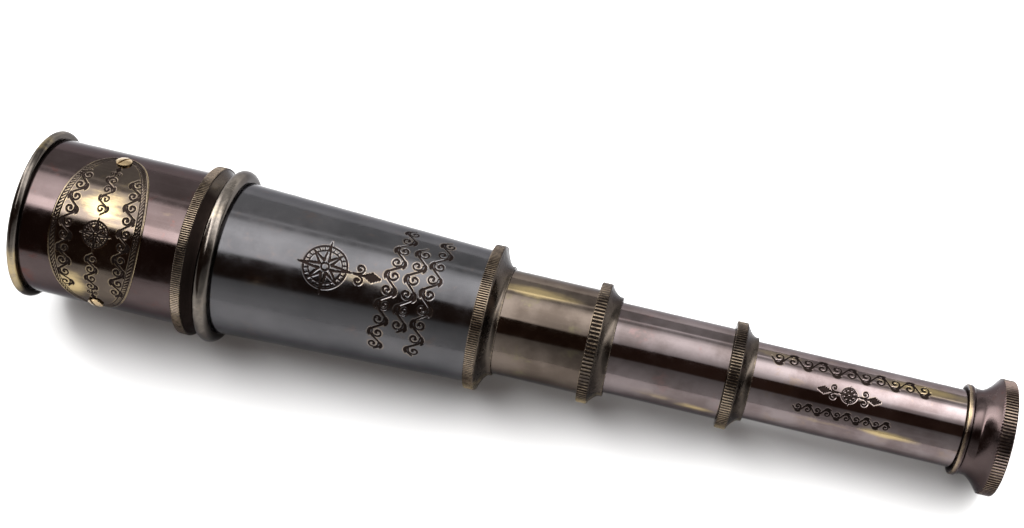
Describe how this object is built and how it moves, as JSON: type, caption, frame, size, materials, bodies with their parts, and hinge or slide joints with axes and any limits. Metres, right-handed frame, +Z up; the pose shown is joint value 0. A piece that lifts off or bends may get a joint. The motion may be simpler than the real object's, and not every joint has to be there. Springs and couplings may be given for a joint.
{
  "type": "spyglass",
  "caption": "Pull-out brass spyglass with a sliding sunshade, a tapered barrel, telescoping draw tubes with knurled collars, an erector and a flared eyepiece.",
  "frame": {"origin": "centre of the front rim face, on the optical axis", "axes": "+X along the optical axis from the objective to the eye, +Z up as the spyglass lies, +Y completes a right-handed frame"},
  "size_m": [0.2864, 0.0518, 0.0518],
  "materials": {
    "shade_patina": "dark reddish-brown antique patina, polished",
    "barrel_patina": "grey-purple gunmetal patina, polished",
    "draw_1_patina": "olive-brown antique patina, satin",
    "draw_2_patina": "pinkish-brown antique patina, polished",
    "draw_3_patina": "pale brown patina worn to yellow brass, polished",
    "collar_patina": "dark brown patina, knurl crests worn to brass",
    "bead_brass": "brown patina worn bright along the crest",
    "eyepiece_patina": "dark reddish-brown patina, polished",
    "plate_brass": "engraved, brown patina rubbed back to brass",
    "screw_brass": "bright brass, worn",
    "sleeve_patina": "dark patina, rubbed by the sunshade",
    "bare_brass": "turned bare brass",
    "black_inner": "blackened matt brass",
    "optical_glass": "polished lens"
  },
  "bodies": {
    "barrel": {"barrel_tube": "barrel_patina", "barrel_flange": "bead_brass", "barrel_collar": "collar_patina", "barrel_guide_sleeve": "bare_brass", "objective_sleeve": "sleeve_patina", "objective_cell": "black_inner", "crown_lens": "optical_glass", "flint_lens": "optical_glass", "objective_retaining_ring": "black_inner"},
    "sunshade": {"shade_tube": "shade_patina", "shade_front_bead": "bead_brass", "shade_collar": "collar_patina", "oval_plate": "plate_brass", "plate_screw_1": "screw_brass", "plate_screw_2": "screw_brass"},
    "draw_1": {"draw_1_tube": "draw_1_patina", "draw_1_stop_ring": "bare_brass", "draw_1_collar": "collar_patina"},
    "draw_2": {"draw_2_tube": "draw_2_patina", "draw_2_stop_ring": "bare_brass", "draw_2_collar": "collar_patina"},
    "draw_3": {"draw_3_tube": "draw_3_patina", "draw_3_stop_ring": "bare_brass", "erector_tube": "black_inner", "erector_front_ring": "black_inner", "erector_front_lens": "optical_glass", "aperture_stop": "black_inner", "erector_rear_lens": "optical_glass", "erector_rear_ring": "black_inner", "eyepiece_cup": "eyepiece_patina", "eyepiece_lens_tube": "black_inner", "field_lens_ring": "black_inner", "field_lens": "optical_glass", "field_stop": "black_inner", "eye_lens": "optical_glass", "eye_lens_ring": "black_inner"}
  },
  "joints": [
    {"name": "sunshade_slide", "type": "slide", "parent": "barrel", "child": "sunshade", "axis": [-1, 0, 0], "range_m": [0, 0.025]},
    {"name": "draw_1_slide", "type": "slide", "parent": "barrel", "child": "draw_1", "axis": [1, 0, 0], "range_m": [-0.02535, 0.026]},
    {"name": "draw_2_slide", "type": "slide", "parent": "draw_1", "child": "draw_2", "axis": [1, 0, 0], "range_m": [-0.03295, 0.029]},
    {"name": "draw_3_slide", "type": "slide", "parent": "draw_2", "child": "draw_3", "axis": [1, 0, 0], "range_m": [-0.05935, 0.0078]}
  ]
}
